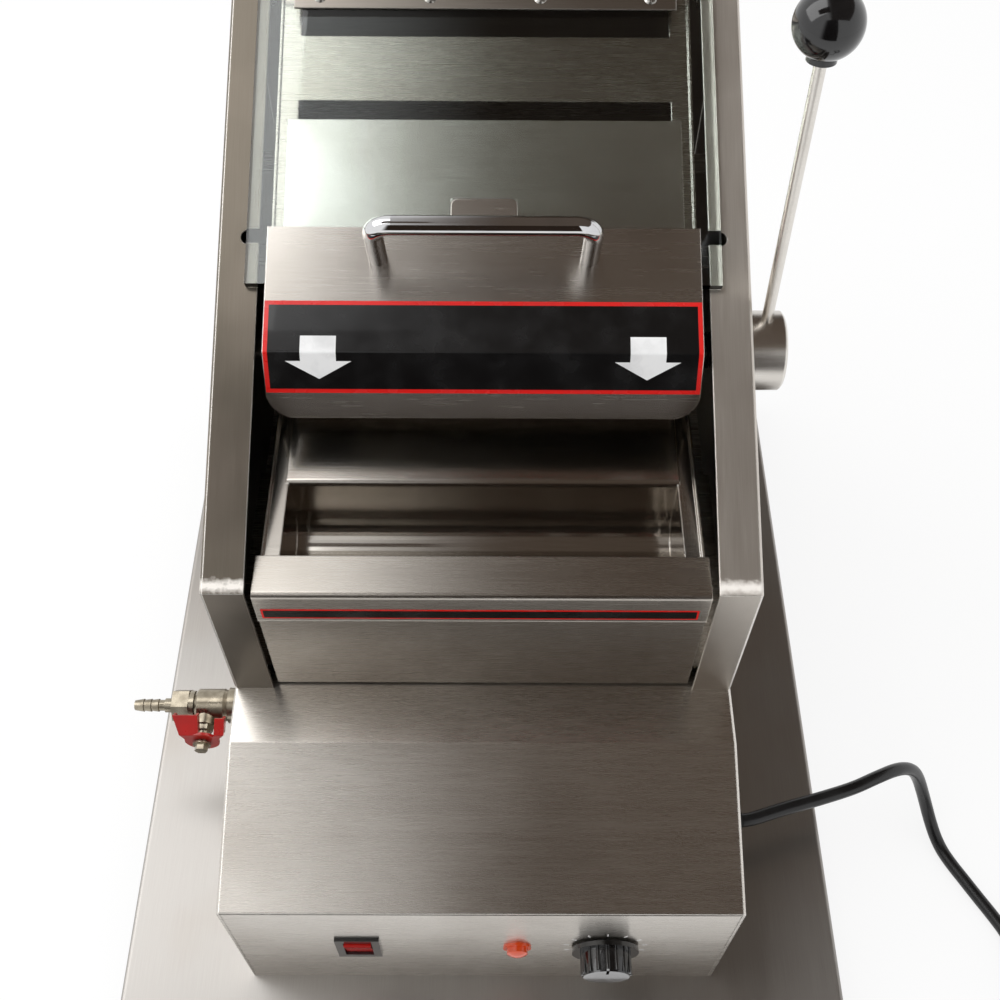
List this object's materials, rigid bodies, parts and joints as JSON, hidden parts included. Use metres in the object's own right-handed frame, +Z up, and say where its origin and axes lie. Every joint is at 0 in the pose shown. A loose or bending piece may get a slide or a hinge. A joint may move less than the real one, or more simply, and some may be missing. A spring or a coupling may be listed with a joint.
{
  "type": "hot dog steamer",
  "caption": "Hot dog steamer: brushed steel cabinet on a base pan, sloped clear hopper door with visor and pull, bun drawer, pull lever, drain valve and mains cord.",
  "frame": {"origin": "on the table under the middle of the base pan", "axes": "+Z up, front is -Y, right side with the lever is +X"},
  "size_m": [0.683, 0.596, 0.5271],
  "materials": {
    "pan_steel": "satin brushed",
    "brushed_steel": "brushed along the width",
    "inner_steel": "satin brushed",
    "turned_steel": "turned",
    "polished_chrome": "polished",
    "nickel_plate": "plated",
    "brass_part": "bare",
    "red_enamel": "gloss enamel",
    "clear_sheet": "polished clear",
    "black_rubber": "moulded",
    "black_plastic": "polished",
    "signal_plastic": "translucent",
    "dark_steel": "black oxide"
  },
  "bodies": {
    "frame": {"base_pan": "pan_steel", "rubber_feet": "black_rubber", "foot_screws": "polished_chrome", "cabinet_shell": "brushed_steel", "front_panel": "brushed_steel", "rear_panel": "brushed_steel", "rear_screws": "polished_chrome", "left_cheek": "brushed_steel", "right_cheek": "brushed_steel", "tower_back": "brushed_steel", "hopper_liner": "inner_steel", "hopper_floor": "inner_steel", "shaft_bushes": "brass_part", "drawer_runners": "inner_steel", "water_tank": "inner_steel", "tank_lid": "inner_steel", "heating_element": "turned_steel", "steam_duct": "inner_steel", "thermostat": "black_plastic", "drain_pipe": "nickel_plate", "valve_body": "nickel_plate", "valve_barb": "nickel_plate", "valve_stem": "nickel_plate", "hinge_pin": "polished_chrome", "hinge_rail": "inner_steel", "return_spring": "dark_steel", "switch_bezel": "black_plastic", "pilot_lamp": "signal_plastic", "cord_gland": "black_rubber", "cord": "black_rubber", "cord_coil": "black_rubber", "plug": "black_rubber", "plug_blades": "brass_part"},
    "drawer": {"drawer_front": "inner_steel", "drawer_tray": "inner_steel"},
    "door": {"door_panel": "clear_sheet", "door_visor": "inner_steel", "door_pull": "polished_chrome", "pull_screws": "polished_chrome", "door_hinge_leaf": "inner_steel", "hinge_screws": "polished_chrome"},
    "cover": {"hopper_cover": "inner_steel"},
    "lever": {"lever_hub": "turned_steel", "lever_rod": "turned_steel", "lever_knob": "black_plastic", "hub_set_screw": "dark_steel", "rotor_shaft": "turned_steel", "dispensing_rotor": "inner_steel"},
    "drain_handle": {"valve_handle": "red_enamel", "valve_bolt": "nickel_plate"},
    "rocker": {"switch_rocker": "signal_plastic"},
    "dial": {"thermostat_knob": "black_plastic"}
  },
  "joints": [
    {"name": "drawer_slide", "type": "slide", "parent": "frame", "child": "drawer", "axis": [0, -1, 0], "range_m": [0, 0.12]},
    {"name": "door_hinge", "type": "hinge", "parent": "frame", "child": "door", "pos_m": [0, 0.20552, 0.44208], "axis": [-1, 0, 0], "range_deg": [0, 100]},
    {"name": "cover_slide", "type": "slide", "parent": "frame", "child": "cover", "axis": [0, 0.9245, 0.3811], "range_m": [0, 0.07]},
    {"name": "lever_pull", "type": "hinge", "parent": "frame", "child": "lever", "pos_m": [0.1505, 0.031, 0.328], "axis": [1, 0, 0], "range_deg": [0, 80], "stiffness_Nm_per_rad": 0.5, "springref_deg": -20.05},
    {"name": "drain_turn", "type": "hinge", "parent": "frame", "child": "drain_handle", "pos_m": [-0.1715, -0.11, 0.13], "axis": [0, -1, 0], "range_deg": [0, 90]},
    {"name": "switch_tip", "type": "hinge", "parent": "frame", "child": "rocker", "pos_m": [-0.07, -0.225, 0.112], "axis": [-1, 0, 0], "range_deg": [0, 16]},
    {"name": "dial_turn", "type": "hinge", "parent": "frame", "child": "dial", "pos_m": [0.07, -0.23, 0.112], "axis": [0, -1, 0], "range_deg": [0, 270]}
  ]
}
